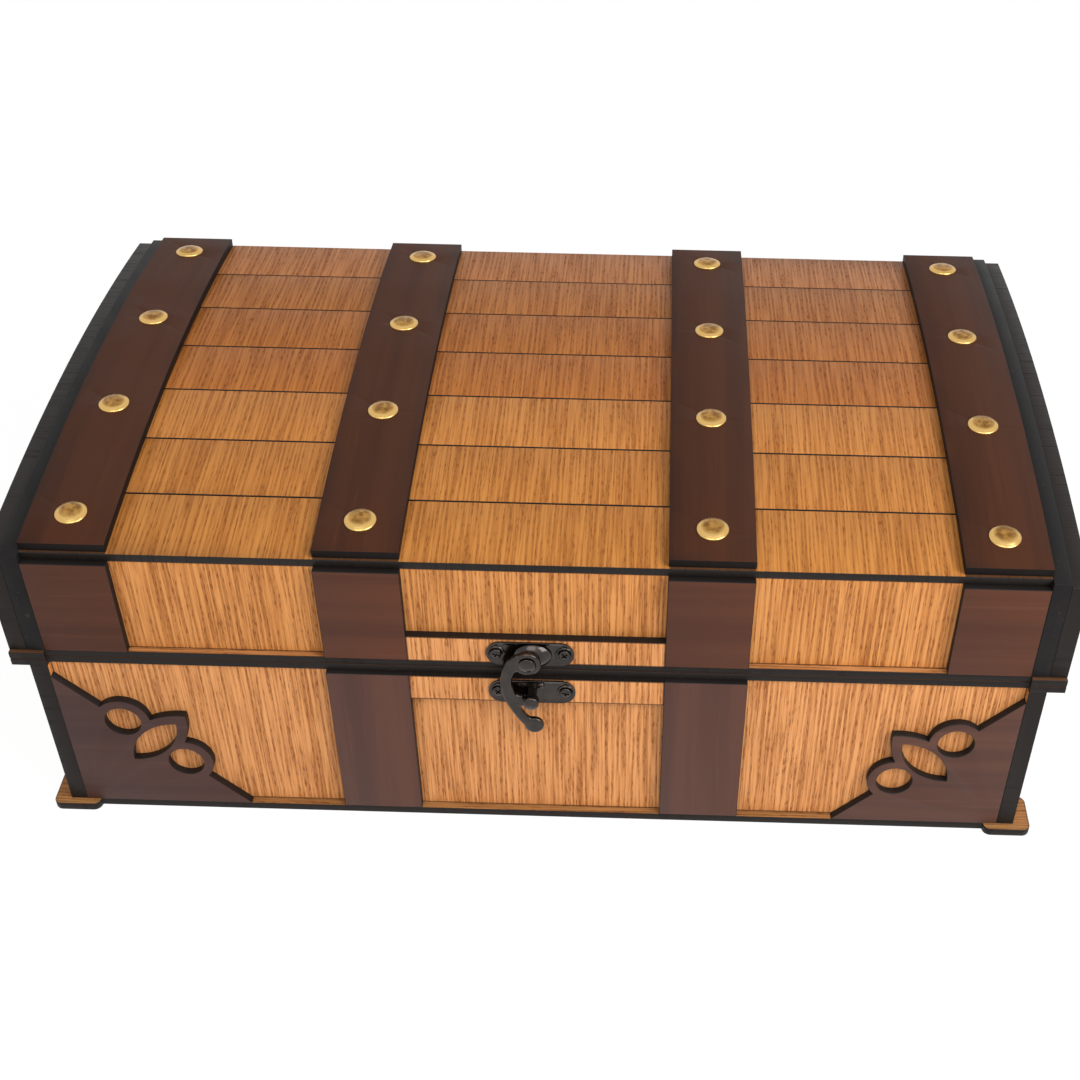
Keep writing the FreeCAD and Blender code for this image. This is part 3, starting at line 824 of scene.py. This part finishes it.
def ribbon(path):
    """Strip of the hook's thickness in the XZ plane, along rows of x, z and width."""
    spots = [Vector((pivot.x + x * MM, hook_mid, pivot.z + z * MM)) for x, z, _ in path]
    headings = [heading(start, end) for start, end in zip(path, path[1:])]
    headings.append(headings[-1])
    clear_selection()
    bpy.ops.mesh.primitive_plane_add(size=1)
    strip = bpy.context.object
    bearing = headings[0]
    across = Matrix.Rotation(-bearing, 4, "Y") @ FORWARD
    size = Matrix.Diagonal((FIRST_STEP, path[0][2] * MM, 1, 1))
    settle(strip, Matrix.Translation(spots[0]) @ across @ size)
    bpy.ops.object.mode_set(mode="EDIT")
    bpy.ops.mesh.select_mode(type="VERT")
    along = Vector((math.cos(bearing), 0, math.sin(bearing)))
    select_where(strip, lambda at: (at - spots[0]).dot(along) > 0)
    for index in range(1, len(path)):
        bpy.ops.mesh.extrude_region_move(TRANSFORM_OT_translate={"value": spots[index] - spots[index - 1]})
        next_bearing = (headings[index - 1] + headings[index]) / 2
        bpy.ops.transform.rotate(value=next_bearing - bearing, orient_axis="Y", center_override=spots[index])
        grow = path[index][2] / path[index - 1][2]
        bpy.ops.transform.resize(value=(grow, 1, grow), center_override=spots[index])
        bearing = next_bearing
    bpy.ops.object.mode_set(mode="OBJECT")
    thick = strip.modifiers.new("thick", "SOLIDIFY")
    thick.thickness = hook_thick
    thick.offset = 0
    apply_all(strip)
    return strip


hook_arm = ribbon(ARM)
hook_lip = ribbon(LIP)
print("ribbons of", len(hook_arm.data.polygons), "and", len(hook_lip.data.polygons), "faces")


# %% [markdown]
# The eye is a ring with a sunk face, where the rivet sits, and the thumb piece is a fat
# button. The arm, lip, eye and button overlap, so a voxel remesh makes one skin of them, and a
# smooth modifier melts their corners into the soft shape that a casting has.

# %% Model the eye and the thumb piece, and melt the arm
EYE_RADIUS = 0.0047
EYE_RINGS = [(0.00170, 1.00), (0.00030, 0.95), (0.00000, 0.60), (-0.00110, 0.92)]
THUMB_RADIUS = 0.0034
THUMB_RINGS = [(0.00165, 1.00), (0.00022, 0.93), (0.00010, 0.82)]
VOXEL = 0.00014
MELT_STEPS = 110


def hook_disc(x, z, radius, rings):
    disc = turned(radius, rings)
    place = Vector((pivot.x + x * MM, hook_high.y, pivot.z + z * MM))
    settle(disc, Matrix.Translation(place) @ FORWARD)
    return disc


thumb = hook_disc(1.7, -27.9, THUMB_RADIUS, THUMB_RINGS)
eye = hook_disc(0.0, 0.0, EYE_RADIUS, EYE_RINGS)
swing_hook = join([hook_arm, hook_lip, thumb, eye], "swing_hook", antique)
skin = swing_hook.modifiers.new("one_skin", "REMESH")
skin.mode = "VOXEL"
skin.voxel_size = VOXEL
melt = swing_hook.modifiers.new("melt", "SMOOTH")
melt.factor = 0.5
melt.iterations = MELT_STEPS
apply_all(swing_hook)
bpy.ops.object.shade_smooth()
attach(swing_hook, "hook")
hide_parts("latch_hook")
print("hook box", [round(v, 4) for v in swing_hook.dimensions], len(swing_hook.data.polygons), "faces")


# %% [markdown]
# ## The floor
# A white floor under soft light keeps attention on the wood. The floor would turn grey in
# places if it were only lit, so most of what the camera and reflections see of it is plain
# white, and the rest still takes the chest's soft shadow.

# %% The white floor
SEEN_WHITE = 0.88

clear_selection()
bpy.ops.mesh.primitive_plane_add(size=6)
floor = bpy.context.object
floor.name = "floor"
ground = Finish("floor_white", Roughness=0.9)
ground.shader.inputs["Base Color"].default_value = rgb(0.86, 0.86, 0.86)
matt = Value(ground, ground.shader.outputs[0])
glow = ground.node("ShaderNodeEmission", None, {"Color": rgb(1, 1, 1), "Strength": 1.06})
ground.show(ground.looked_at() * SEEN_WHITE, matt, glow, "Material Output")
floor.data.materials.append(ground.material)
print("floor ready")


# %% [markdown]
# ## The world
# The world does two jobs: it fills the shadows with a weak, cool light, and it is the white
# that is seen above the floor and in the metal. One colour can't do both, so the light path
# decides which of two backgrounds a ray gets.

# %% The world
world = bpy.data.worlds.new("studio")
bpy.context.scene.world = world
world.use_nodes = True
studio = Tree(world.node_tree)
sky = studio.tree.nodes["Background"]
sky.inputs["Color"].default_value = rgb(0.97, 0.985, 1.0)
sky.inputs["Strength"].default_value = 0.45
white = studio.node("ShaderNodeBackground", None, {"Color": rgb(1, 1, 1)})
studio.show(studio.looked_at(), Value(studio, sky.outputs[0]), white, "World Output")
print("world ready")


# %% [markdown]
# ## The lamps
# Two large soft boxes light the chest, as in a small studio: a key from the right, in front
# and above, and a weaker fill from in front. Their size keeps the shadows soft.

# %% The lamps
LAMP_TARGET = Vector((0, 0, 0.06))


def soft_box(name, place, size, power):
    bpy.ops.object.light_add(type="AREA", location=place)
    lamp = bpy.context.object
    lamp.name = name
    lamp.rotation_euler = (LAMP_TARGET - Vector(place)).to_track_quat("-Z", "Y").to_euler()
    lamp.data.size = size
    lamp.data.energy = power


soft_box("key", (0.66, -0.56, 0.66), 0.6, 8.4)
soft_box("fill", (-0.15, -0.85, 1.0), 0.7, 4.7)
bpy.context.scene.view_settings.view_transform = "Standard"
print("lamps ready")
